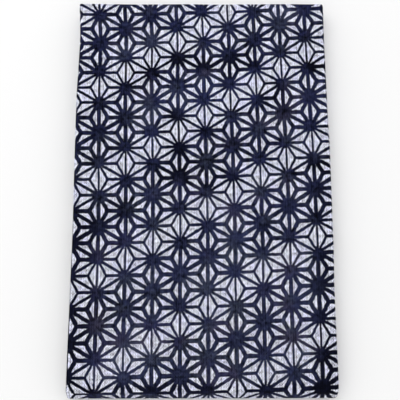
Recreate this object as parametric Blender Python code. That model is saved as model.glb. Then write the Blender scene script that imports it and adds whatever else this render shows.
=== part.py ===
"""A tenugui, a thin printed cotton hand towel, folded flat.

The cloth's length is halved three times, and then its width is halved once. Lengths are in
metres. +Z is up, +Y points away from the last fold, towards the woven edges, and the origin is
under the middle of the folded towel, on the surface it lies on.
"""

import math
from typing import NamedTuple

import bmesh
import bpy

# The cut length of cloth
CLOTH_LENGTH = 0.900
CLOTH_WIDTH = 0.350
LENGTH_HALVINGS = 3

# The folded towel, before its edges wander
FOLDED_X = CLOTH_LENGTH / 2**LENGTH_HALVINGS
FOLDED_Y = CLOTH_WIDTH / 2

# The first halving lays two plies together, and each such pair is one layer here
LAYER = 0.0010
GAP = 0.00015
PITCH = LAYER + GAP
LAYERS_IN_HALF = 4
MIDDLE_OF_OUTER = (LAYERS_IN_HALF - 0.5) * PITCH
OUTSIDE = MIDDLE_OF_OUTER + LAYER / 2

# The folds are pressed, so a thick one has two round corners with a flat between them
SIDE_FOLD_CORNER = 0.0013
END_FOLD_CORNER = 0.0026

# The layers lie further apart near the last fold, and a little less so along the side folds
EXTRA_GAP_AT_END_FOLD = 0.00010
EXTRA_GAP_AT_SIDE_FOLDS = 0.00007
END_FOLD_FADE = 2
SIDE_FOLD_FADE = 4

# The layers' cut edges are rounded off over this distance, down to this share of the thickness
RIM = 0.00035
RIM_THICKNESS_SHARE = 0.45

# How finely the cloth is divided
STEPS_IN_PASS = 7
STEPS_IN_QUARTER_TURN = 4
STEPS_IN_HALF = 10
SAME_POINT = 0.00001
SMOOTH_BELOW_ANGLE = math.radians(50)

QUARTER_TURN = math.pi / 2

COTTON_COLOR = (0.66, 0.65, 0.78, 1.0)
COTTON_ROUGHNESS = 0.9


class Side(NamedTuple):
    """How far the side folds stand out of a straight line, at one place along the cloth's width.

    The place runs from 1 at the woven edge of the upper half, over 0 at the last fold, to -1 at
    the woven edge of the lower half.
    """

    place: float
    left: float
    right: float


SIDES = (
    Side(place=-1.00, left=-0.0008, right=0.0002),
    Side(place=-0.55, left=-0.0003, right=0.0009),
    Side(place=-0.20, left=-0.0006, right=0.0006),
    Side(place=0.00, left=0.0, right=0.0),
    Side(place=0.06, left=0.0, right=0.0001),
    Side(place=0.24, left=-0.0002, right=0.0),
    Side(place=0.38, left=-0.0004, right=0.0004),
    Side(place=0.61, left=-0.0001, right=0.0005),
    Side(place=0.72, left=0.0, right=0.0001),
    Side(place=0.91, left=-0.0007, right=-0.0001),
    Side(place=1.00, left=0.0, right=0.0),
)


class WovenEdge(NamedTuple):
    """How far back a layer's woven edge lies from the end of the towel, in each half."""

    layer: int
    upper: float
    lower: float


# Layer 0 is the inner one in each half
WOVEN_EDGES = (
    WovenEdge(layer=0, upper=0.0011, lower=0.0016),
    WovenEdge(layer=1, upper=0.0004, lower=0.0007),
    WovenEdge(layer=2, upper=0.0009, lower=0.0013),
    WovenEdge(layer=3, upper=0.0, lower=0.0002),
)

# How far back from the left side the two open ends of the length lie
INNER_END_BACK = 0.0034
NEXT_END_BACK = 0.0022


class Step(NamedTuple):
    """A point on a layer's path across the side folds, and the direction to the path's left."""

    x: float
    height: float
    left_x: float
    left_height: float
    thickness_share: float = 1.0


class Station(NamedTuple):
    """A place along the cloth's width: on a straight run or on a corner of the last fold."""

    half: int
    run: float
    angle: float
    thickness_share: float = 1.0


def between(low, high, share):
    return low + (high - low) * share


def shares(steps):
    return [step / steps for step in range(steps + 1)]


def read_row(rows, key, place, column):
    """A column of a table, read between its rows."""
    for row, following in zip(rows, rows[1:]):
        start, end = getattr(row, key), getattr(following, key)
        if place <= end:
            share = max(0.0, (place - start) / (end - start))
            smooth = share * share * (3 - 2 * share)
            return between(getattr(row, column), getattr(following, column), smooth)
    return getattr(rows[-1], column)


def layer_height(layer):
    """The height of a layer's middle over the plane between the two halves."""
    return (layer + 0.5) * PITCH


def straight_run(start_x, end_x, layer):
    facing = 1 if end_x > start_x else -1
    return [
        Step(between(start_x, end_x, share), layer_height(layer), 0.0, facing)
        for share in shares(STEPS_IN_PASS)
    ]


def corner(centre_x, centre_height, radius, start, end):
    """A round corner about its centre, from one angle to another."""
    towards_left = -1 if end > start else 1
    steps = []
    for share in shares(STEPS_IN_QUARTER_TURN):
        angle = between(start, end, share)
        out_x, out_height = math.cos(angle), math.sin(angle)
        x = centre_x + radius * out_x
        height = centre_height + radius * out_height
        steps.append(Step(x, height, towards_left * out_x, towards_left * out_height))
    return steps


def side_fold(edge_x, side, start_layer, end_layer, radius):
    """A fold at one side, whose middle line just reaches edge_x; side is 1 on the right."""
    rising = 1 if end_layer > start_layer else -1
    centre_x = edge_x - side * radius
    low = layer_height(start_layer) + rising * radius
    high = layer_height(end_layer) - rising * radius
    apex = 0.0 if side > 0 else math.pi
    quarter = side * rising * QUARTER_TURN
    return corner(centre_x, low, radius, apex - quarter, apex) + corner(
        centre_x, high, radius, apex, apex + quarter
    )


def rounded_end(step, ahead):
    """A thinner copy of an open end's point, a little further along."""
    return step._replace(x=step.x + ahead, thickness_share=RIM_THICKNESS_SHARE)


def without_repeats(steps):
    kept = [steps[0]]
    for step in steps[1:]:
        if math.dist(step[:2], kept[-1][:2]) > SAME_POINT:
            kept.append(step)
    return kept


def section():
    """The path of one layer through the upper half, from the inner open end to the other one."""
    left = -FOLDED_X / 2 + LAYER / 2
    right = FOLDED_X / 2 - LAYER / 2
    small = PITCH / 2
    outer_tangent = right - SIDE_FOLD_CORNER
    inner_right = right - PITCH
    inner_end = left + INNER_END_BACK
    next_end = left + NEXT_END_BACK
    inner, third, second, outer = range(LAYERS_IN_HALF)
    path = straight_run(inner_end, outer_tangent, inner)
    path += side_fold(right, 1, inner, outer, SIDE_FOLD_CORNER)
    path += straight_run(outer_tangent, left + small, outer)
    path += side_fold(left, -1, outer, second, small)
    path += straight_run(left + small, inner_right - small, second)
    path += side_fold(inner_right, 1, second, third, small)
    path += straight_run(inner_right - small, next_end, third)
    path = without_repeats(path)
    return [rounded_end(path[0], -RIM), *path, rounded_end(path[-1], -RIM)]


def stations():
    """Places along the cloth's width, from the woven edge of one half to that of the other."""
    before_rim = 1 - RIM / FOLDED_Y
    upper = [Station(1, 1.0, QUARTER_TURN, RIM_THICKNESS_SHARE)]
    for share in reversed(shares(STEPS_IN_HALF)):
        upper.append(Station(1, share * before_rim, QUARTER_TURN))
    for share in reversed(shares(STEPS_IN_QUARTER_TURN)[:-1]):
        upper.append(Station(1, 0.0, share * QUARTER_TURN))
    lower = [station._replace(half=-1) for station in reversed(upper)]
    return upper + lower


def end_fold_corner(height):
    """The corner radius of the last fold, for cloth this far from the plane between the halves."""
    innermost = PITCH / 2
    slope = (END_FOLD_CORNER - innermost) / (MIDDLE_OF_OUTER - innermost)
    return min(height, innermost + slope * (height - innermost))


def woven_edge_y(height, half):
    layer = height / PITCH - 0.5
    column = "upper" if half > 0 else "lower"
    return FOLDED_Y / 2 - read_row(WOVEN_EDGES, "layer", layer, column)


def round_last_fold(height, station):
    """The y and z of cloth this far from the plane between the halves, at a station."""
    radius = end_fold_corner(height)
    fold_y = -FOLDED_Y / 2 + OUTSIDE - height
    run_starts = fold_y + radius
    run = station.run * (woven_edge_y(height, station.half) - run_starts)
    y = run_starts - radius * math.cos(station.angle) + run
    z = station.half * (height - radius + radius * math.sin(station.angle))
    return y, z


def wander(x, y, half):
    """The sides stand in and out a little, and not at the same places in the two halves."""
    from_end_fold = min(1.0, max(0.0, y / FOLDED_Y + 0.5))
    from_left = x / FOLDED_X + 0.5
    left = read_row(SIDES, "place", half * from_end_fold, "left")
    right = read_row(SIDES, "place", half * from_end_fold, "right")
    return x + between(-left, right, from_left)


def spring(x, y, z):
    """The height over the surface, with the layers further apart towards the folds."""
    over_floor = z + OUTSIDE
    from_woven_edge = max(0.0, 0.5 - y / FOLDED_Y)
    from_middle = abs(x) / (FOLDED_X / 2)
    at_end_fold = EXTRA_GAP_AT_END_FOLD * from_woven_edge**END_FOLD_FADE
    at_side_folds = EXTRA_GAP_AT_SIDE_FOLDS * from_middle**SIDE_FOLD_FADE
    gaps_below = max(0.0, over_floor - LAYER / 2) / PITCH
    return over_floor + max(at_end_fold, at_side_folds) * gaps_below


def folded(step, station, face):
    """Where a point of the flat layer comes to lie; face is 1 or -1, for its two faces."""
    share = min(step.thickness_share, station.thickness_share)
    offset = face * share * LAYER / 2
    x = step.x + offset * step.left_x
    height = step.height + offset * step.left_height
    y, z = round_last_fold(height, station)
    return wander(x, y, station.half), y, spring(x, y, z)


def flat_layer(columns, rows):
    """A closed flat layer, divided into a grid, with its two faces at z 0 and z 1."""
    layer = bmesh.new()
    bmesh.ops.create_grid(layer, x_segments=columns, y_segments=rows, size=0.5)
    upper = bmesh.ops.extrude_face_region(layer, geom=layer.faces[:])["geom"]
    raised = [item for item in upper if isinstance(item, bmesh.types.BMVert)]
    bmesh.ops.translate(layer, vec=(0, 0, 1), verts=raised)
    return layer


def fold_layer(layer, path, places):
    for vert in layer.verts:
        column = round((vert.co.x + 0.5) * (len(path) - 1))
        row = round((vert.co.y + 0.5) * (len(places) - 1))
        face = 1 if vert.co.z > 0.5 else -1
        vert.co = folded(path[column], places[row], face)


def centre_over_origin(layer):
    """Moves the towel so that the origin is under the middle of its box."""
    x_values = [vert.co.x for vert in layer.verts]
    y_values = [vert.co.y for vert in layer.verts]
    lowest = min(vert.co.z for vert in layer.verts)
    middle_x = (min(x_values) + max(x_values)) / 2
    middle_y = (min(y_values) + max(y_values)) / 2
    bmesh.ops.translate(layer, vec=(-middle_x, -middle_y, -lowest), verts=layer.verts)


def cotton_material():
    material = bpy.data.materials.new("printed_cotton")
    material.use_nodes = True
    shader = material.node_tree.nodes["Principled BSDF"]
    shader.inputs["Base Color"].default_value = COTTON_COLOR
    shader.inputs["Roughness"].default_value = COTTON_ROUGHNESS
    shader.inputs["Metallic"].default_value = 0.0
    return material


def folded_cloth(collection):
    path = section()
    places = stations()
    layer = flat_layer(len(path) - 1, len(places) - 1)
    fold_layer(layer, path, places)
    centre_over_origin(layer)
    bmesh.ops.recalc_face_normals(layer, faces=layer.faces)
    mesh = bpy.data.meshes.new("folded_cloth")
    layer.to_mesh(mesh)
    layer.free()
    mesh.shade_smooth()
    mesh.set_sharp_from_angle(angle=SMOOTH_BELOW_ANGLE)
    mesh.materials.append(cotton_material())
    cloth = bpy.data.objects.new("folded_cloth", mesh)
    collection.objects.link(cloth)
    return cloth


def clear_scene():
    for item in list(bpy.data.objects):
        bpy.data.objects.remove(item, do_unlink=True)


def main():
    clear_scene()
    towel = bpy.data.collections.new("folded_tenugui_towel")
    bpy.context.scene.collection.children.link(towel)
    folded_cloth(towel)


main()
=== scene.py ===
"""The look of a folded tenugui, a thin printed cotton hand towel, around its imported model.

One sheet of cotton is folded as the model is: its length is halved three times, then its width
once. The first halving lays two plies together, and each such pair is one layer of the model.
Lengths are in metres. +Z is up and +Y points away from the last fold, towards the woven edges.
"""

import math
from typing import NamedTuple

import bmesh
import bpy
from mathutils import Matrix, Vector, noise


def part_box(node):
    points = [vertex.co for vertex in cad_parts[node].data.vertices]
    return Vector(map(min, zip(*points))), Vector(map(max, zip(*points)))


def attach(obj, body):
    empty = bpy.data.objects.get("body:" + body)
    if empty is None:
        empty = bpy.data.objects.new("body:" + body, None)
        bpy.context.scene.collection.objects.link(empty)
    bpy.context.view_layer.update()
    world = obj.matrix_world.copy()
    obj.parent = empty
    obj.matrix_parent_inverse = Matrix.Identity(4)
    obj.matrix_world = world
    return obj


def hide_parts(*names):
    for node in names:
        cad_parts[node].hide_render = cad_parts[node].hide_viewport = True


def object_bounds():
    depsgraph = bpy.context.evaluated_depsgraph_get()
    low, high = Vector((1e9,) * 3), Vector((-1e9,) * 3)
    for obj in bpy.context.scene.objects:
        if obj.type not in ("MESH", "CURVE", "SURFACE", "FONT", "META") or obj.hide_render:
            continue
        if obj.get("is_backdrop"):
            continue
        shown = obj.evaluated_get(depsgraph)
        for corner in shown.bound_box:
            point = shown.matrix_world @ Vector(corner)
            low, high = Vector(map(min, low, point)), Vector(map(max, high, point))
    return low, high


bl_info = {
    "name": "Folded tenugui towel",
    "version": (1, 0, 0),
    "blender": (4, 5, 0),
    "location": "3D View > Sidebar > Tenugui",
    "description": "Builds a folded, printed cotton hand towel and its stage",
    "category": "Object",
}

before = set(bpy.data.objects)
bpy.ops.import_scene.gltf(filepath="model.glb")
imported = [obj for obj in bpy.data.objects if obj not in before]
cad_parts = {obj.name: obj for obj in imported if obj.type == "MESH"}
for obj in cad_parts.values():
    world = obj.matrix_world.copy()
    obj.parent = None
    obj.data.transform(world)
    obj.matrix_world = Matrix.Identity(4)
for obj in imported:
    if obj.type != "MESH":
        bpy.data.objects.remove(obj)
MODEL_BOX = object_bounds()
CLOTH_NODE = "folded_cloth"

MM = 0.001
QUARTER_TURN = math.pi / 2

# The cut length of cloth
CLOTH_LENGTH = 0.900
CLOTH_WIDTH = 0.350
LENGTH_HALVINGS = 3
FOLDED_X = CLOTH_LENGTH / 2**LENGTH_HALVINGS
FOLDED_Y = CLOTH_WIDTH / 2

# The model's layers of two plies
LAYER = 0.0010
GAP = 0.00015
PITCH = LAYER + GAP
LAYERS_IN_HALF = 4
MIDDLE_OF_OUTER = (LAYERS_IN_HALF - 0.5) * PITCH
OUTSIDE = MIDDLE_OF_OUTER + LAYER / 2

# The folds are pressed, so a thick side fold has two round corners with a flat between them. The
# last fold has such a corner on its lower side only
SIDE_FOLD_CORNER = 0.0013
END_FOLD_CORNER = 0.0026

# On top, the last fold has a crease this far back from its outermost line, and slopes down from
# there to a little over the middle of the stack
CREASE_BACK = 0.0022
CREASE_STRAY = 0.00035
CREASE_STRAY_LENGTH = 0.030
SLOPE_ENDS_OVER_MIDDLE = 0.00045
CREASE_CRISPNESS = 28

# The outermost line of the last fold stands this far proud of the model's
FOLD_PROUD = 0.0006

# The layers lie further apart near the last fold, and a little less so along the side folds
EXTRA_GAP_AT_END_FOLD = 0.00010
EXTRA_GAP_AT_SIDE_FOLDS = 0.00007
END_FOLD_FADE = 2
SIDE_FOLD_FADE = 4

# How far back from the left side the two open ends of each half lie
INNER_END_BACK = 0.0034
NEXT_END_BACK = 0.0022

# The cloth's own edges are pressed thin over this distance, down to this share of a ply
RIM = 0.00030
RIM_THICKNESS_SHARE = 0.5

# How finely the sheet is divided
STEP_ON_TOP = 0.0024
STEP_INSIDE = 0.0045
STEP_UNDER = 0.0050
STEPS_IN_QUARTER_TURN = 6
STEPS_OVER_CREASE = 18
STEPS_ROUND_FIRST_FOLD = 8
SAME_POINT = 0.00001
SMOOTH_BELOW_ANGLE = math.radians(50)

# The sheet's faces are put in order by z, then by y, then by x
FACE_ORDER = Vector((1, 1_000, 1_000_000))

# The map named OFBake gives these shares of itself to the stretches of cloth that show on top
SEEN_ALONG = (-0.004, 0.120)
SEEN_ALONG_SHARE = 0.50
SEEN_ACROSS = (0.0, 0.190)
SEEN_ACROSS_SHARE = 0.64

# How far the plies' woven and cut edges stray, and over what length
EDGE_STRAY = 0.00030
EDGE_STRAY_LENGTH = 0.016

# The length of the slow rise and fall of the whole stack
SWELL_LENGTH = 0.042

# Which part of the noise each of these reads
EDGE_NOISE = (7.3, 0.5)
CREASE_NOISE = (2.7, 4.1)
SWELL_NOISE = 3.1


class Side(NamedTuple):
    """How far the side folds stand out of a straight line, at one place along the cloth's width.

    The place runs from 1 at the woven edge of the upper half, over 0 at the last fold, to -1 at
    the woven edge of the lower half.
    """

    place: float
    left: float
    right: float


SIDES = (
    Side(place=-1.00, left=-0.0008, right=0.0002),
    Side(place=-0.55, left=-0.0003, right=0.0009),
    Side(place=-0.20, left=-0.0006, right=0.0006),
    Side(place=0.00, left=0.0, right=0.0),
    Side(place=0.06, left=0.0, right=0.0001),
    Side(place=0.24, left=-0.0002, right=0.0),
    Side(place=0.38, left=-0.0004, right=0.0004),
    Side(place=0.61, left=-0.0001, right=0.0005),
    Side(place=0.72, left=0.0, right=0.0001),
    Side(place=0.91, left=-0.0007, right=-0.0001),
    Side(place=1.00, left=0.0, right=0.0),
)


class WovenEdge(NamedTuple):
    """How far back a layer's woven edge lies from the end of the towel, in each half."""

    layer: int
    upper: float
    lower: float


# Layer 0 is the inner one in each half
WOVEN_EDGES = (
    WovenEdge(layer=0, upper=0.0011, lower=0.0016),
    WovenEdge(layer=1, upper=0.0004, lower=0.0007),
    WovenEdge(layer=2, upper=0.0009, lower=0.0013),
    WovenEdge(layer=3, upper=-0.0003, lower=0.0002),
)


class Step(NamedTuple):
    """A point of the path across the side folds, and the direction that its printed face looks."""

    x: float
    height: float
    out_x: float
    out_height: float
    thickness_share: float = 1.0


class Station(NamedTuple):
    """A place along the cloth's width: on a straight run or on a corner of the last fold."""

    half: int
    run: float
    angle: float
    thickness_share: float = 1.0


class ClothSettings(bpy.types.PropertyGroup):
    """Sizes of the cotton sheet."""

    ply: bpy.props.FloatProperty(
        name="Ply",
        description="Thickness of one ply of the cotton",
        default=0.00042,
        min=0.0002,
        max=0.00046,
        precision=5,
        subtype="DISTANCE",
        unit="LENGTH",
    )
    ply_offset: bpy.props.FloatProperty(
        name="Ply offset",
        description="Distance of each ply's middle from the middle of its pair",
        default=0.00028,
        min=0.00024,
        max=0.00030,
        precision=5,
        subtype="DISTANCE",
        unit="LENGTH",
    )
    swell: bpy.props.FloatProperty(
        name="Swell",
        description="How far the top of the stack rises and falls",
        default=0.00022,
        min=0.0,
        max=0.001,
        precision=5,
        subtype="DISTANCE",
        unit="LENGTH",
    )


class PrintSettings(bpy.types.PropertyGroup):
    """Sizes and colours of the hemp-leaf print."""

    row_pitch: bpy.props.FloatProperty(
        name="Row pitch",
        description="Distance between two stars of one column",
        default=0.01410,
        min=0.005,
        precision=5,
        subtype="DISTANCE",
        unit="LENGTH",
    )
    column_pitch: bpy.props.FloatProperty(
        name="Column pitch",
        description="Distance between two columns of stars",
        default=0.01176,
        min=0.004,
        precision=5,
        subtype="DISTANCE",
        unit="LENGTH",
    )
    weft_pitch: bpy.props.FloatProperty(
        name="Weft pitch",
        description="Distance between two threads that run from woven edge to woven edge",
        default=0.00052,
        min=0.0002,
        precision=5,
        subtype="DISTANCE",
        unit="LENGTH",
    )
    warp_pitch: bpy.props.FloatProperty(
        name="Warp pitch",
        description="Distance between two threads that run along the cloth's length",
        default=0.00056,
        min=0.0002,
        precision=5,
        subtype="DISTANCE",
        unit="LENGTH",
    )
    cotton: bpy.props.FloatVectorProperty(
        name="Cotton",
        description="Colour of the undyed cotton",
        default=(0.572, 0.584, 0.664),
        min=0.0,
        max=1.0,
        subtype="COLOR",
    )
    tinted_cotton: bpy.props.FloatVectorProperty(
        name="Tinted cotton",
        description="Colour of the cotton where the dye bath has tinted it",
        default=(0.548, 0.556, 0.692),
        min=0.0,
        max=1.0,
        subtype="COLOR",
    )
    indigo: bpy.props.FloatVectorProperty(
        name="Indigo",
        description="Colour of the dye in the print's lines",
        default=(0.0098, 0.0122, 0.0420),
        min=0.0,
        max=1.0,
        subtype="COLOR",
    )
    slate: bpy.props.FloatVectorProperty(
        name="Slate",
        description="Colour of the dye in broad places and in patches",
        default=(0.0286, 0.0337, 0.0508),
        min=0.0,
        max=1.0,
        subtype="COLOR",
    )
    plum: bpy.props.FloatVectorProperty(
        name="Plum",
        description="Colour of the dye where it leans towards red",
        default=(0.0364, 0.0324, 0.0518),
        min=0.0,
        max=1.0,
        subtype="COLOR",
    )


class StageSettings(bpy.types.PropertyGroup):
    """The floor, the lights and the camera."""

    floor_color: bpy.props.FloatVectorProperty(
        name="Floor",
        description="Colour of the plain floor",
        default=(0.955, 0.955, 0.955),
        min=0.0,
        max=1.0,
        subtype="COLOR",
    )
    ambient: bpy.props.FloatProperty(
        name="Ambient",
        description="Strength of the even light from all round",
        default=0.80,
        min=0.0,
    )
    softbox: bpy.props.FloatProperty(
        name="Softbox",
        description="Power of the large light overhead, in watts",
        default=2.9,
        min=0.0,
        subtype="POWER",
        unit="POWER",
    )
    lens: bpy.props.FloatProperty(
        name="Lens",
        description="Focal length of the camera, in millimetres",
        default=64.63,
        min=10.0,
    )


def between(low, high, share):
    return low + (high - low) * share


def shares(steps):
    return [step / steps for step in range(steps + 1)]


def read_row(rows, key, place, column):
    """A column of a table, read between its rows."""
    for row, following in zip(rows, rows[1:]):
        start, end = getattr(row, key), getattr(following, key)
        if place <= end:
            share = max(0.0, (place - start) / (end - start))
            smooth = share * share * (3 - 2 * share)
            return between(getattr(row, column), getattr(following, column), smooth)
    return getattr(rows[-1], column)


def layer_height(layer):
    """The height of a layer's middle over the plane between the two halves."""
    return (layer + 0.5) * PITCH


def straight_run(start_x, end_x, layer, step):
    facing = -1 if end_x > start_x else 1
    steps = math.ceil(abs(end_x - start_x) / step)
    return [
        Step(between(start_x, end_x, share), layer_height(layer), 0.0, facing)
        for share in shares(steps)
    ]


def corner(centre_x, centre_height, radius, start, end):
    """A round corner about its centre, from one angle to another."""
    towards_right = 1 if end > start else -1
    steps = []
    for share in shares(STEPS_IN_QUARTER_TURN):
        angle = between(start, end, share)
        away_x, away_height = math.cos(angle), math.sin(angle)
        x = centre_x + radius * away_x
        height = centre_height + radius * away_height
        steps.append(Step(x, height, towards_right * away_x, towards_right * away_height))
    return steps


def side_fold(edge_x, side, start_layer, end_layer, radius):
    """A fold at one side, whose middle line just reaches edge_x; side is 1 on the right."""
    rising = 1 if end_layer > start_layer else -1
    centre_x = edge_x - side * radius
    low = layer_height(start_layer) + rising * radius
    high = layer_height(end_layer) - rising * radius
    apex = 0.0 if side > 0 else math.pi
    quarter = side * rising * QUARTER_TURN
    return corner(centre_x, low, radius, apex - quarter, apex) + corner(
        centre_x, high, radius, apex, apex + quarter
    )


def without_repeats(steps):
    kept = [steps[0]]
    for step in steps[1:]:
        if math.dist(step[:2], kept[-1][:2]) > SAME_POINT:
            kept.append(step)
    return kept


def pair_path(top_step):
    """The middle line of one pair of plies, from the cut ends to the first fold."""
    left = -FOLDED_X / 2 + LAYER / 2
    right = FOLDED_X / 2 - LAYER / 2
    small = PITCH / 2
    outer_tangent = right - SIDE_FOLD_CORNER
    inner_right = right - PITCH
    inner, third, second, outer = range(LAYERS_IN_HALF)
    path = straight_run(left + INNER_END_BACK, outer_tangent, inner, STEP_INSIDE)
    path += side_fold(right, 1, inner, outer, SIDE_FOLD_CORNER)
    path += straight_run(outer_tangent, left + small, outer, top_step)
    path += side_fold(left, -1, outer, second, small)
    path += straight_run(left + small, inner_right - small, second, STEP_INSIDE)
    path += side_fold(inner_right, 1, second, third, small)
    path += straight_run(inner_right - small, left + NEXT_END_BACK, third, STEP_INSIDE)
    return without_repeats(path)


def ply_step(step, offset, outwards):
    """A step moved from the middle of the pair to the middle of one of its two plies."""
    x = step.x + offset * outwards * step.out_x
    height = step.height + offset * outwards * step.out_height
    return Step(x, height, outwards * step.out_x, outwards * step.out_height)


def first_fold(end, offset):
    """The half turn that joins the two plies, past the end of the pair's path."""
    steps = []
    for share in shares(STEPS_ROUND_FIRST_FOLD)[1:-1]:
        angle = share * math.pi
        out_x = -math.sin(angle)
        out_height = math.cos(angle) * end.out_height
        steps.append(
            Step(end.x + offset * out_x, end.height + offset * out_height, out_x, out_height)
        )
    return steps


def sheet_path(offset):
    """The whole sheet's path along its length: the outer ply, the first fold, the inner ply."""
    outer_ply = pair_path(STEP_ON_TOP)
    inner_ply = pair_path(STEP_INSIDE)
    path = [ply_step(step, offset, 1) for step in outer_ply]
    path += first_fold(outer_ply[-1], offset)
    path += [ply_step(step, offset, -1) for step in reversed(inner_ply)]
    cut_rims = [
        step._replace(x=step.x - RIM, thickness_share=RIM_THICKNESS_SHARE)
        for step in (path[0], path[-1])
    ]
    return [cut_rims[0], *path, cut_rims[1]]


def stations():
    """Places along the cloth's width, from the woven edge of one half to that of the other."""
    before_rim = 1 - RIM / FOLDED_Y

    def half_run(half, step, turns):
        steps = math.ceil(FOLDED_Y / step)
        rim = Station(half, 1.0, QUARTER_TURN, RIM_THICKNESS_SHARE)
        straight = [
            Station(half, share * before_rim, QUARTER_TURN) for share in reversed(shares(steps))
        ]
        turn = [Station(half, 0.0, share * QUARTER_TURN) for share in reversed(turns)]
        return [rim, *straight, *turn]

    upper = half_run(1, STEP_ON_TOP, shares(STEPS_OVER_CREASE)[1:-1])
    lower = half_run(-1, STEP_UNDER, shares(STEPS_IN_QUARTER_TURN)[:-1])
    return upper + lower[::-1]


def end_fold_corner(height):
    """The corner radius of the last fold, for cloth this far from the plane between the halves."""
    innermost = PITCH / 2
    slope = (END_FOLD_CORNER - innermost) / (MIDDLE_OF_OUTER - innermost)
    return min(height, innermost + slope * (height - innermost))


def woven_edge_y(height, half, along):
    """Where a ply's woven edge lies, at a place along the sheet's length."""
    layer = height / PITCH - 0.5
    column = "upper" if half > 0 else "lower"
    row, depth = EDGE_NOISE
    stray = EDGE_STRAY * noise.noise(Vector((along / EDGE_STRAY_LENGTH, row * half, depth)))
    return FOLDED_Y / 2 - read_row(WOVEN_EDGES, "layer", layer, column) + stray


def crease_reach(angle, x):
    """How far the creased upper side of the last fold reaches, as a share of its height."""
    stray = CREASE_STRAY * noise.noise(Vector((x / CREASE_STRAY_LENGTH, *CREASE_NOISE)))
    back = (CREASE_BACK + stray) / OUTSIDE
    upright = SLOPE_ENDS_OVER_MIDDLE / OUTSIDE
    out, up = math.cos(angle), math.sin(angle)
    slope = ((1 - upright) * out + back * up) / (1 - upright + back * upright)
    crisp = CREASE_CRISPNESS
    return (out**crisp + up**crisp + slope**crisp) ** (-1 / crisp)


def round_last_fold(height, station, x, along):
    """The y and z of cloth this far from the plane between the halves, at a station."""
    middle_y = -FOLDED_Y / 2 + OUTSIDE
    edge_y = woven_edge_y(height, station.half, along)
    out, up = math.cos(station.angle), math.sin(station.angle)
    proud = FOLD_PROUD * height / OUTSIDE * out**2
    if station.half > 0:
        reach = height * crease_reach(station.angle, x)
        y = middle_y - reach * out + station.run * (edge_y - middle_y)
        return y - proud, reach * up
    radius = end_fold_corner(height)
    run_starts = middle_y - height + radius
    y = run_starts - radius * out + station.run * (edge_y - run_starts)
    return y - proud, -(height - radius + radius * up)


def wander(x, y, half):
    """The sides stand in and out a little, and not at the same places in the two halves."""
    from_end_fold = min(1.0, max(0.0, y / FOLDED_Y + 0.5))
    from_left = x / FOLDED_X + 0.5
    left = read_row(SIDES, "place", half * from_end_fold, "left")
    right = read_row(SIDES, "place", half * from_end_fold, "right")
    return x + between(-left, right, from_left)


def spring(x, y, z):
    """The height over the surface, with the layers further apart towards the folds."""
    over_floor = z + OUTSIDE
    from_woven_edge = max(0.0, 0.5 - y / FOLDED_Y)
    from_middle = abs(x) / (FOLDED_X / 2)
    at_end_fold = EXTRA_GAP_AT_END_FOLD * from_woven_edge**END_FOLD_FADE
    at_side_folds = EXTRA_GAP_AT_SIDE_FOLDS * from_middle**SIDE_FOLD_FADE
    gaps_below = max(0.0, over_floor - LAYER / 2) / PITCH
    return over_floor + max(at_end_fold, at_side_folds) * gaps_below


def swollen(x, y, z, swell):
    """The height with the slow rise and fall of the stack, none of it where it lies."""
    wave = noise.noise(Vector((x / SWELL_LENGTH, y / SWELL_LENGTH, SWELL_NOISE)))
    return z * (1 + swell * wave / (2 * OUTSIDE))


def running_lengths(points):
    """How far along a line each of its points lies."""
    lengths = [0.0]
    for start, end in zip(points, points[1:]):
        lengths.append(lengths[-1] + math.dist(start, end))
    return lengths


def sheet_lengths(path):
    """Each step's place along the sheet, measured rightwards from the towel's left side on top."""
    lengths = running_lengths([step[:2] for step in path])
    on_top = max(range(len(path)), key=lambda place: path[place].height)
    zero = lengths[on_top] + path[on_top].x + FOLDED_X / 2
    return [zero - length for length in lengths]


def sheet_widths(places):
    """Each station's place across the sheet, measured from the woven edge on top."""
    return running_lengths([round_last_fold(OUTSIDE, place, 0.0, 0.0) for place in places])


def map_places(lengths, seen, seen_share):
    """Places from 0 to 1 for lengths along the cloth, with this share for the stretch seen."""
    start, total = min(lengths), max(lengths) - min(lengths)
    low, high = seen
    places = []
    for length in lengths:
        shown = min(max(length, low), high) - low
        hidden = length - start - shown
        places.append(
            seen_share * shown / (high - low)
            + (1 - seen_share) * hidden / (total - high + low)
        )
    return places


def flat_sheet(columns, rows):
    """A closed flat sheet, divided into a grid, with its two faces at z 0 and z 1."""
    sheet = bmesh.new()
    bmesh.ops.create_grid(sheet, x_segments=columns, y_segments=rows, size=0.5)
    upper = bmesh.ops.extrude_face_region(sheet, geom=sheet.faces[:])["geom"]
    raised = [item for item in upper if isinstance(item, bmesh.types.BMVert)]
    bmesh.ops.translate(sheet, vec=(0, 0, 1), verts=raised)

    # The extrusion adds the faces of the rim in an order that changes from run to run
    sheet.faces.sort(key=lambda face: face.calc_center_median().dot(FACE_ORDER))
    return sheet


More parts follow.
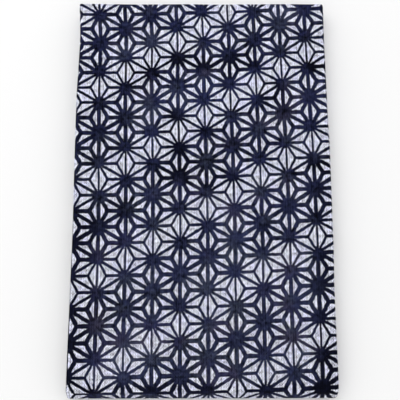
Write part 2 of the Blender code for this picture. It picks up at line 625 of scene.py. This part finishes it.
def fold_sheet(sheet, settings):
    """Moves each point of the flat sheet to its folded place, and maps the cloth in metres."""
    path, places = sheet_path(settings.ply_offset), stations()
    along, across = sheet_lengths(path), sheet_widths(places)
    along_map = map_places(along, SEEN_ALONG, SEEN_ALONG_SHARE)
    across_map = map_places(across, SEEN_ACROSS, SEEN_ACROSS_SHARE)
    cloth_map = sheet.loops.layers.uv.new("cloth")
    export_map = sheet.loops.layers.uv.new("OFBake")
    spots = {}
    for vert in sheet.verts:
        column = round((vert.co.x + 0.5) * (len(path) - 1))
        row = round((vert.co.y + 0.5) * (len(places) - 1))
        spots[vert] = (column, row, 1 if vert.co.z > 0.5 else -1)
    for face in sheet.faces:
        for loop in face.loops:
            column, row, _ = spots[loop.vert]
            loop[cloth_map].uv = (along[column], across[row])
            loop[export_map].uv = (along_map[column], across_map[row])
    for vert, (column, row, side) in spots.items():
        step, station = path[column], places[row]
        offset = side * min(step.thickness_share, station.thickness_share) * settings.ply / 2
        x = step.x + offset * step.out_x
        height = step.height + offset * step.out_height
        y, z = round_last_fold(height, station, x, along[column])
        z = swollen(x, y, spring(x, y, z), settings.swell)
        vert.co = (wander(x, y, station.half), y, z)


def set_on_model(sheet):
    """Moves the sheet's last fold onto the model's, down on the surface it lies on."""
    low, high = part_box(CLOTH_NODE)
    x_values = [vert.co.x for vert in sheet.verts]
    shift = Vector(
        (
            (low.x + high.x - min(x_values) - max(x_values)) / 2,
            low.y - FOLD_PROUD - min(vert.co.y for vert in sheet.verts),
            low.z - min(vert.co.z for vert in sheet.verts),
        )
    )
    bmesh.ops.translate(sheet, vec=shift, verts=sheet.verts)


class Number:
    """A number in a material. Sums and products of it add Math nodes."""

    def __init__(self, finish, socket):
        self.finish = finish
        self.socket = socket

    def math(self, operation, *others):
        return self.finish.number("ShaderNodeMath", {"operation": operation}, self, *others)

    def __add__(self, other):
        return self.math("ADD", other)

    __radd__ = __add__

    def __mul__(self, other):
        return self.math("MULTIPLY", other)

    __rmul__ = __mul__

    def __sub__(self, other):
        return self.math("SUBTRACT", other)

    def __rsub__(self, other):
        return self.finish.number("ShaderNodeMath", {"operation": "SUBTRACT"}, other, self)

    def __truediv__(self, other):
        return self.math("DIVIDE", other)

    def __mod__(self, other):
        return self.math("FLOORED_MODULO", other)

    def __abs__(self):
        return self.math("ABSOLUTE")

    def __round__(self):
        return self.math("ROUND")

    def __floor__(self):
        return self.math("FLOOR")

    def fraction(self):
        return self.math("FRACT")

    def sign(self):
        return self.math("SIGN")

    def root(self):
        return self.math("SQRT")

    def cosine(self):
        return self.math("COSINE")

    def least(self, other):
        return self.math("MINIMUM", other)

    def most(self, other):
        return self.math("MAXIMUM", other)

    def soft_least(self, other, blend):
        return self.math("SMOOTH_MIN", other, blend)

    def equals(self, other, within=0.25):
        """1 where the two are no further apart than this, otherwise 0."""
        return self.math("COMPARE", other, within)

    def over(self, other):
        """1 where this is the greater, otherwise 0."""
        return self.math("GREATER_THAN", other)

    def ramp(self, start, end):
        """0 at start and 1 at end, smooth between them."""
        settings = {"interpolation_type": "SMOOTHSTEP"}
        return self.finish.number("ShaderNodeMapRange", settings, self, start, end)


class Finish:
    """A material under work: it adds nodes to a material's tree."""

    def __init__(self, name):
        self.material = bpy.data.materials.new(name)
        self.material.use_nodes = True
        self.tree = self.material.node_tree
        self.shader = self.tree.nodes["Principled BSDF"]

    def node(self, kind, settings, inputs):
        """Adds a node, with its settings first and then the values or links of its sockets."""
        added = self.tree.nodes.new(kind)
        for name, value in settings.items():
            setattr(added, name, value)
        for key, value in inputs.items():
            self.feed(added.inputs[key], value)
        return added

    def feed(self, socket, value):
        if isinstance(value, Number):
            value = value.socket
        if isinstance(value, bpy.types.NodeSocket):
            self.tree.links.new(value, socket)
        else:
            socket.default_value = value

    def number(self, kind, settings, *inputs):
        """The first output of a node, whose sockets are given in their order."""
        added = self.node(kind, settings, dict(enumerate(inputs)))
        return Number(self, added.outputs[0])

    def mixed(self, share, first, second):
        """A colour between two colours."""
        inputs = {"Factor": share, "A": first, "B": second}
        return self.node("ShaderNodeMix", {"data_type": "RGBA"}, inputs).outputs["Result"]

    def scaled(self, vector, factor):
        """A vector or a colour times a number."""
        inputs = {"Vector": vector, "Scale": factor}
        return self.node("ShaderNodeVectorMath", {"operation": "SCALE"}, inputs).outputs["Vector"]


def opaque(color):
    return (*color, 1.0)


class Clouds(NamedTuple):
    """A soft noise: its spots to the millimetre, its detail, and its stretch on the cloth."""

    spots: float
    detail: float = 2.0
    along: float = 1.0
    across: float = 1.0


# The print's first star, in columns and rows from the corner of the towel's top
FIRST_COLUMN = 0.173
FIRST_ROW = -0.953

# The print lies a little askew on the threads, and its lines bow by this many millimetres
COLUMNS_LEAN = 0.0144
ROWS_RISE = 0.0300
COLUMNS_BOW = 0.59
ROWS_BOW = 0.51
ROWS_CROWD = 0.48

# Half the width of the print's lines, in millimetres. Two bands of stars in three are drawn
# heavy, and the third one light
HEAVY_COLUMN_LINE = 0.93
LIGHT_COLUMN_LINE = 0.52
HEAVY_FALLING_LINE = 0.89
LIGHT_FALLING_LINE = 0.68
HEAVY_RISING_LINE = 0.99
LIGHT_RISING_LINE = 0.71
HEAVY_SPOKE = 0.98
LIGHT_SPOKE = 0.62
LIGHT_LEVEL_SPOKE = 0.72
BANDS = 3
LIGHT_BAND = 2
HEAVY_STARS = 1

# How softly two lines meet, in millimetres, and which shares of a triangle count as the same
CORNER_BLEND = 0.28
SAME_SHARE = 0.001

# The weave: how far the threads stray, in millimetres, and how much the threads that run across
# the cloth, the thick ones and the pinholes between them show
STRAY_ALONG = Clouds(spots=0.11)
STRAY_ACROSS = Clouds(spots=0.13)
THREADS_STRAY = 0.5
THICK_WARPS = Clouds(spots=1.0, detail=1.0, along=0.10, across=1.4)
THICK_WEFTS = Clouds(spots=1.0, detail=1.0, along=1.4, across=0.10)
OPEN_PLACES = Clouds(spots=0.45, detail=1.0)
OPEN_PLACES_FADE = (0.30, 0.70)
PINHOLE_FADE = (0.15, -0.55)
WEFTS_SHOW = 0.22
THICK_THREADS_SHOW = 0.50
PINHOLES_SHOW = 0.48
OPEN_PLACES_SHOW_MORE = 0.32
THICK_WARPS_RISE = 0.8
RELIEF = 0.12 * MM
RELIEF_STRENGTH = 0.35

# How far the dye creeps along the threads, and how soft its edge is, in millimetres
CREEP_ALONG_WARPS = Clouds(spots=1.0, detail=1.0, along=0.6, across=1.9)
CREEP_ALONG_WEFTS = Clouds(spots=1.0, detail=1.0, along=1.9, across=0.6)
DYE_CREEP = 0.42
DYE_CREEP_IN_CHECKS = 0.06
DYE_FADE = (0.10, -0.10)

# What the cotton and the dye share
SPECKS = Clouds(spots=0.65)
SLOW_TONE = Clouds(spots=0.035, detail=3.0)

# The cotton's tint and brightness, and how much each pattern changes it
TINTED_PLACES = Clouds(spots=0.17)
TINTED_PLACES_FADE = (0.44, 0.62)
BESIDE_DYE_FADE = (0.80, 0.30)
COTTON_BRIGHTNESS = 1.23
COTTON_SPECKS = 1.50
COTTON_TONE = 0.08
COTTON_BESIDE_DYE = 0.16
# Painted shade: the cotton is darkened towards the last fold
COTTON_PAINTED_SHADE_TOWARDS_FOLD = -0.12
COTTON_BRIGHTEST = 1.60
COTTON_DARKEST = 0.08

# The dye is slate in broad places and in patches, and the slate leans towards red in places. The
# slate added a little towards the last fold is painted glare, which pales the dye there
BROAD_FADE = (-0.60, -1.60)
SLATE_PATCHES = Clouds(spots=0.08)
SLATE_PATCHES_FADE = (0.42, 0.66)
SLATE_IN_BROAD_PLACES = 0.70
SLATE_IN_PATCHES = 0.40
SLATE_PAINTED_GLARE_TOWARDS_FOLD = 0.20
PLUM_PLACES = Clouds(spots=0.05)
PLUM_PLACES_FADE = (0.48, 0.66)

# The dye is darkened by painted shade beside the side folds, the more so towards the last fold,
# and along the crease there, whose place is in millimetres from the woven edge on top. The dye
# itself is deepest in patches between the two
SIDE_FOLD_NEARNESS = (0.93, 1.0)
PAINTED_SHADE_BESIDE_SIDE_FOLDS = 0.20
PAINTED_SHADE_DEEPER_TOWARDS_FOLD = 0.66
BEFORE_CREASE = (168.3, 171.5)
PAST_CREASE = (175.2, 173.4)
PAINTED_SHADE_AT_CREASE = 0.72
DEEP_PATCHES = Clouds(spots=0.055)
DEEP_PATCHES_FADE = (0.49, 0.66)
OFF_WOVEN_EDGE = (0.002, 0.07)
OFF_LAST_FOLD = (0.85, 0.35)
DEEP_IN_PATCHES = 0.85
SHADE_AND_DEEP_DYE_LESS_SLATE = 0.80
SHADE_AND_DEEP_DYE_DARKER = 0.84

# The dye's brightness, and how much each pattern changes it
BLOTCHES = Clouds(spots=0.45, detail=3.0)
DYE_BRIGHTNESS = 1.24
DYE_GRAIN = 1.1
DYE_SPECKS = 2.8
DYE_BLOTCHES = 2.2
DYE_TONE = 1.8
# Painted glare: the dye is paler towards the last fold
DYE_PAINTED_GLARE_TOWARDS_FOLD = 0.12
DYE_DARKEST = 0.10

# The dyed places and the threads' tops are a little smoother than the rest
COTTON_ROUGHNESS = 0.90
DYE_SMOOTHER = 0.04
THREADS_SMOOTHER = 0.04
COTTON_SPECULAR = 0.04


class Cloth:
    """The cloth's own map in a finish: millimetres along the cloth (u) and across it (v)."""

    def __init__(self, finish):
        self.finish = finish
        metres = finish.node("ShaderNodeUVMap", {"uv_map": "cloth"}, {}).outputs["UV"]
        self.place = finish.scaled(metres, 1 / MM)
        parts = finish.node("ShaderNodeSeparateXYZ", {}, {"Vector": self.place})
        self.u = Number(finish, parts.outputs["X"])
        self.v = Number(finish, parts.outputs["Y"])
        self.angle_along = self.u * (math.pi * MM / FOLDED_X)
        self.angle_across = self.v * (math.pi * MM / FOLDED_Y)
        self.towards_fold = 0.5 - self.angle_across.cosine() * 0.5
        self.specks = self.swing(SPECKS)
        self.tone = self.swing(SLOW_TONE)

    def clouds(self, kind):
        """Soft noise on the cloth, from 0 to 1."""
        stretched = self.finish.node(
            "ShaderNodeVectorMath",
            {"operation": "MULTIPLY"},
            {0: self.place, 1: (kind.along, kind.across, 1.0)},
        ).outputs["Vector"]
        texture = self.finish.node(
            "ShaderNodeTexNoise",
            {"noise_dimensions": "2D"},
            {"Vector": stretched, "Scale": kind.spots, "Detail": kind.detail},
        )
        return Number(self.finish, texture.outputs["Fac"])

    def swing(self, kind):
        """Soft noise on the cloth, to both sides of 0."""
        return self.clouds(kind) - 0.5


def star_print(cloth, settings):
    """How far a point is outside the print's lines, in millimetres, and below 0 inside them."""
    column_pitch, row_pitch = settings.column_pitch / MM, settings.row_pitch / MM
    slant = math.hypot(column_pitch, row_pitch / 2)
    across_slant = column_pitch * row_pitch / slant
    half_side = (row_pitch + slant) / 4

    bow_down = 1 - (cloth.angle_across - QUARTER_TURN).cosine()
    bow_across = 1 - (cloth.angle_along - QUARTER_TURN).cosine()
    leant_u = cloth.u - cloth.v * COLUMNS_LEAN + bow_down * COLUMNS_BOW
    risen_v = cloth.v + cloth.u * ROWS_RISE + bow_across * ROWS_BOW + bow_down * ROWS_CROWD
    column = FIRST_COLUMN + leant_u / column_pitch
    row = FIRST_ROW + risen_v / row_pitch
    rising = row + column * 0.5
    falling = rising - column

    light = (math.floor(rising) % BANDS).equals(LIGHT_BAND)
    heavy_stars = (round(rising) % BANDS).equals(HEAVY_STARS)

    def lines(count, pitch, heavy, light_line, lightness):
        half_width = heavy - lightness * (heavy - light_line)
        return abs(count - round(count)) * pitch - half_width

    columns = lines(column, column_pitch, HEAVY_COLUMN_LINE, LIGHT_COLUMN_LINE, light)
    falls = lines(falling, across_slant, HEAVY_FALLING_LINE, LIGHT_FALLING_LINE, light)
    rises = lines(rising, across_slant, HEAVY_RISING_LINE, LIGHT_RISING_LINE, 1 - heavy_stars)

    # A point's shares of its triangle's three stars; the spokes are where two shares are alike
    column_part, rising_part = column.fraction(), rising.fraction()
    first = 1 - column_part.most(rising_part)
    last = column_part.least(rising_part)
    middle = abs(rising_part - column_part)
    largest = first.most(last).most(middle)
    smallest = first.least(last).least(middle)
    leftward = rising_part.over(column_part)
    off_column = leftward * column_part + (1 - leftward) * (1 - column_part)
    level = light * off_column.equals(largest, SAME_SHARE)
    spokes = (1 - largest - smallest * 2) * half_side - (
        HEAVY_SPOKE
        - light * (HEAVY_SPOKE - LIGHT_SPOKE)
        + level * (LIGHT_LEVEL_SPOKE - LIGHT_SPOKE)
    )
    lines_apart = columns.soft_least(falls, CORNER_BLEND).soft_least(rises, CORNER_BLEND)
    return lines_apart.soft_least(spokes, CORNER_BLEND)


class Weave(NamedTuple):
    """The threads' height, where they cross, the thick ones, and how they change brightness."""

    threads: Number
    checks: Number
    thick_warps: Number
    grain: Number


def plain_weave(cloth, settings):
    """A plain weave whose threads stray a little, and some of them are thicker than others."""
    strayed_u = cloth.u + cloth.swing(STRAY_ALONG) * THREADS_STRAY
    strayed_v = cloth.v + cloth.swing(STRAY_ACROSS) * THREADS_STRAY
    weft = (strayed_u * (math.pi * MM / settings.weft_pitch)).cosine()
    warp = (strayed_v * (math.pi * MM / settings.warp_pitch)).cosine()
    weft_over = abs(weft).root() * (0.5 + warp * weft.sign() * 0.5)
    warp_over = abs(warp).root() * (0.5 - weft * warp.sign() * 0.5)
    checks = weft * warp
    open_places = cloth.clouds(OPEN_PLACES).ramp(*OPEN_PLACES_FADE)
    thick_warps, thick_wefts = cloth.swing(THICK_WARPS), cloth.swing(THICK_WEFTS)
    grain = (
        weft * WEFTS_SHOW
        + (thick_warps + thick_wefts) * THICK_THREADS_SHOW
        - checks.ramp(*PINHOLE_FADE) * (PINHOLES_SHOW + open_places * OPEN_PLACES_SHOW_MORE)
    )
    return Weave(weft_over.most(warp_over), checks, thick_warps, grain)


def outside_dye(cloth, weave, settings):
    """How far a point is outside the dye, which creeps further along some of the threads."""
    creep = cloth.swing(CREEP_ALONG_WEFTS) + cloth.swing(CREEP_ALONG_WARPS)
    return star_print(cloth, settings) + creep * DYE_CREEP + weave.checks * DYE_CREEP_IN_CHECKS


def undyed_color(cloth, weave, outside, settings):
    """The colour of the cotton, tinted in places, a little paler right beside the dye, and
    darkened towards the last fold by painted shade.
    """
    brightness = (
        COTTON_BRIGHTNESS
        + weave.grain
        + cloth.specks * COTTON_SPECKS
        + cloth.tone * COTTON_TONE
        + outside.ramp(*BESIDE_DYE_FADE) * COTTON_BESIDE_DYE
        + cloth.towards_fold * COTTON_PAINTED_SHADE_TOWARDS_FOLD
    )
    color = cloth.finish.mixed(
        cloth.clouds(TINTED_PLACES).ramp(*TINTED_PLACES_FADE),
        opaque(settings.cotton),
        opaque(settings.tinted_cotton),
    )
    return cloth.finish.scaled(color, brightness.least(COTTON_BRIGHTEST).most(COTTON_DARKEST))


def fold_shade_and_deep_dye(cloth):
    """Where the dye is darkened, from 0 to 1: painted shade beside the side folds and along the
    crease, and deep dye in patches.
    """
    beside_side_folds = abs(cloth.angle_along.cosine()).ramp(*SIDE_FOLD_NEARNESS)
    at_crease = cloth.v.ramp(*BEFORE_CREASE) * cloth.v.ramp(*PAST_CREASE)
    off_woven_edge = cloth.towards_fold.ramp(*OFF_WOVEN_EDGE)
    off_last_fold = cloth.towards_fold.ramp(*OFF_LAST_FOLD)
    patches = cloth.clouds(DEEP_PATCHES).ramp(*DEEP_PATCHES_FADE)
    # Painted shade beside the side folds and along the crease, and deeper dye in patches
    return (
        beside_side_folds * (PAINTED_SHADE_BESIDE_SIDE_FOLDS + cloth.towards_fold * PAINTED_SHADE_DEEPER_TOWARDS_FOLD)
        + at_crease * PAINTED_SHADE_AT_CREASE
        + patches * off_woven_edge * off_last_fold * DEEP_IN_PATCHES
    ).least(1.0)


def dyed_color(cloth, weave, outside, settings):
    """The colour of the dye: indigo, slate in places, paler with painted glare towards the last
    fold, and darkened by painted shade along the folds.
    """
    shade_and_deep_dye = fold_shade_and_deep_dye(cloth)
    slate_share = (
        outside.ramp(*BROAD_FADE) * SLATE_IN_BROAD_PLACES
        + cloth.clouds(SLATE_PATCHES).ramp(*SLATE_PATCHES_FADE) * SLATE_IN_PATCHES
        + cloth.towards_fold * SLATE_PAINTED_GLARE_TOWARDS_FOLD
    ) * (1 - shade_and_deep_dye * SHADE_AND_DEEP_DYE_LESS_SLATE)
    slate = cloth.finish.mixed(
        cloth.clouds(PLUM_PLACES).ramp(*PLUM_PLACES_FADE),
        opaque(settings.slate),
        opaque(settings.plum),
    )
    color = cloth.finish.mixed(slate_share.least(1.0), opaque(settings.indigo), slate)
    brightness = (
        DYE_BRIGHTNESS
        + weave.grain * DYE_GRAIN
        + cloth.specks * DYE_SPECKS
        + cloth.swing(BLOTCHES) * DYE_BLOTCHES
        + cloth.tone * DYE_TONE
        + cloth.towards_fold * DYE_PAINTED_GLARE_TOWARDS_FOLD
    # Painted shade along the folds and the crease, and the deeper dye in patches, darken the dye
    ) * (1 - shade_and_deep_dye * SHADE_AND_DEEP_DYE_DARKER)
    return cloth.finish.scaled(color, brightness.most(DYE_DARKEST))


def printed_cotton(settings):
    """Plain-woven cotton with the hemp-leaf print, both laid out on the cloth's own map."""
    finish = Finish("printed_cotton")
    cloth = Cloth(finish)
    weave = plain_weave(cloth, settings)
    outside = outside_dye(cloth, weave, settings)
    dyed = outside.ramp(*DYE_FADE)
    color = finish.mixed(
        dyed,
        undyed_color(cloth, weave, outside, settings),
        dyed_color(cloth, weave, outside, settings),
    )
    roughness = COTTON_ROUGHNESS - dyed * DYE_SMOOTHER - weave.threads * THREADS_SMOOTHER
    height = weave.threads + weave.thick_warps * THICK_WARPS_RISE
    relief = {"Strength": RELIEF_STRENGTH, "Distance": RELIEF, "Height": height}
    normal = finish.node("ShaderNodeBump", {}, relief).outputs["Normal"]
    finish.feed(finish.shader.inputs["Base Color"], color)
    finish.feed(finish.shader.inputs["Roughness"], roughness)
    finish.feed(finish.shader.inputs["Normal"], normal)
    finish.shader.inputs["Metallic"].default_value = 0.0
    finish.shader.inputs["Specular IOR Level"].default_value = COTTON_SPECULAR
    return finish.material


FLOOR_ROUGHNESS = 0.8
FLOOR_SPECULAR = 0.2


def floor_material(color):
    finish = Finish("plain_floor")
    finish.shader.inputs["Base Color"].default_value = opaque(color)
    finish.shader.inputs["Roughness"].default_value = FLOOR_ROUGHNESS
    finish.shader.inputs["Specular IOR Level"].default_value = FLOOR_SPECULAR
    return finish.material


def linked_object(name, data):
    item = bpy.data.objects.new(name, data)
    bpy.context.scene.collection.objects.link(item)
    return item


def mesh_object(name, shape, material):
    mesh = bpy.data.meshes.new(name)
    shape.to_mesh(mesh)
    shape.free()
    mesh.materials.append(material)
    return linked_object(name, mesh)


class TENUGUI_OT_printed_sheet(bpy.types.Operator):
    """Folds one sheet of printed cotton onto the model of the towel"""

    bl_idname = "tenugui.printed_sheet"
    bl_label = "Folded printed sheet"

    def execute(self, context):
        settings = context.scene.tenugui_cloth
        path, places = sheet_path(settings.ply_offset), stations()
        sheet = flat_sheet(len(path) - 1, len(places) - 1)
        fold_sheet(sheet, settings)
        set_on_model(sheet)
        bmesh.ops.recalc_face_normals(sheet, faces=sheet.faces)
        finish = printed_cotton(context.scene.tenugui_print)
        towel = mesh_object("printed_sheet", sheet, finish)
        towel.data.shade_smooth()
        towel.data.set_sharp_from_angle(angle=SMOOTH_BELOW_ANGLE)
        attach(towel, "root")
        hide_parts(CLOTH_NODE)
        return {"FINISHED"}


# The camera's place over the towel's middle, and how it is turned, in radians
CAMERA_PLACE = (-0.00243, -0.07045, 0.31389)
CAMERA_TIP = 0.21275
CAMERA_YAW = 0.01667
CAMERA_ROLL = 0.01512
CAMERA_NEAR = 0.01
SENSOR = 36.0

FLOOR_SIZE = 6.0
SOFTBOX_SIZE = 0.9
SOFTBOX_PLACE = (-0.25, 0.30, 0.85)
WHITE = (1.0, 1.0, 1.0)


def camera_axes():
    """The camera's right, up and backward directions."""
    tip, yaw = CAMERA_TIP, CAMERA_YAW
    look = Vector((math.sin(yaw) * math.sin(tip), math.cos(yaw) * math.sin(tip), -math.cos(tip)))
    up = Vector((math.sin(yaw) * math.cos(tip), math.cos(yaw) * math.cos(tip), math.sin(tip)))
    right = look.cross(up)
    turned_right = right * math.cos(CAMERA_ROLL) + up * math.sin(CAMERA_ROLL)
    turned_up = up * math.cos(CAMERA_ROLL) - right * math.sin(CAMERA_ROLL)
    return turned_right, turned_up, -look


class TENUGUI_OT_stage(bpy.types.Operator):
    """Sets out the floor, the soft lights and the camera"""

    bl_idname = "tenugui.stage"
    bl_label = "Stage"

    def execute(self, context):
        scene = context.scene
        settings = scene.tenugui_stage
        plane = bmesh.new()
        bmesh.ops.create_grid(plane, x_segments=1, y_segments=1, size=FLOOR_SIZE / 2)
        mesh_object("floor", plane, floor_material(settings.floor_color))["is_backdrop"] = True

        scene.world = bpy.data.worlds.new("studio")
        scene.world.use_nodes = True
        background = scene.world.node_tree.nodes["Background"]
        background.inputs["Color"].default_value = opaque(WHITE)
        background.inputs["Strength"].default_value = settings.ambient

        light = bpy.data.lights.new("softbox", "AREA")
        light.shape = "SQUARE"
        light.size = SOFTBOX_SIZE
        light.energy = settings.softbox
        softbox = linked_object("softbox", light)
        place = Vector(SOFTBOX_PLACE)
        softbox.matrix_world = Matrix.Translation(place) @ (
            place.to_track_quat("Z", "Y").to_matrix().to_4x4()
        )

        lens = bpy.data.cameras.new("camera")
        lens.lens = settings.lens
        lens.sensor_width = SENSOR
        lens.clip_start = CAMERA_NEAR
        camera = linked_object("camera", lens)
        turn = Matrix(camera_axes()).transposed().to_4x4()
        camera.matrix_world = Matrix.Translation(Vector(CAMERA_PLACE)) @ turn
        scene.camera = camera
        scene.view_settings.view_transform = "Standard"
        return {"FINISHED"}


class TENUGUI_PT_panel(bpy.types.Panel):
    """Lists what can be built"""

    bl_idname = "TENUGUI_PT_panel"
    bl_label = "Folded tenugui"
    bl_space_type = "VIEW_3D"
    bl_region_type = "UI"
    bl_category = "Tenugui"

    def draw(self, context):
        for name in SETTINGS:
            group = getattr(context.scene, name)
            box = self.layout.box()
            for item in group.bl_rna.properties:
                if item.identifier not in ("name", "rna_type"):
                    box.prop(group, item.identifier)
        for operator in OPERATORS:
            self.layout.operator(operator.bl_idname)


SETTINGS = {
    "tenugui_cloth": ClothSettings,
    "tenugui_print": PrintSettings,
    "tenugui_stage": StageSettings,
}
OPERATORS = (TENUGUI_OT_printed_sheet, TENUGUI_OT_stage)


def register():
    for name, group in SETTINGS.items():
        bpy.utils.register_class(group)
        setattr(bpy.types.Scene, name, bpy.props.PointerProperty(type=group))
    for item in (*OPERATORS, TENUGUI_PT_panel):
        bpy.utils.register_class(item)


def unregister():
    for item in (TENUGUI_PT_panel, *reversed(OPERATORS)):
        bpy.utils.unregister_class(item)
    for name, group in reversed(SETTINGS.items()):
        delattr(bpy.types.Scene, name)
        bpy.utils.unregister_class(group)


def main():
    register()
    bpy.ops.tenugui.printed_sheet()
    bpy.ops.tenugui.stage()
    sizes = {
        "cad": [list(corner) for corner in MODEL_BOX],
        "visual": [list(corner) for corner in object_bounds()],
    }


if __name__ == "__main__":
    main()
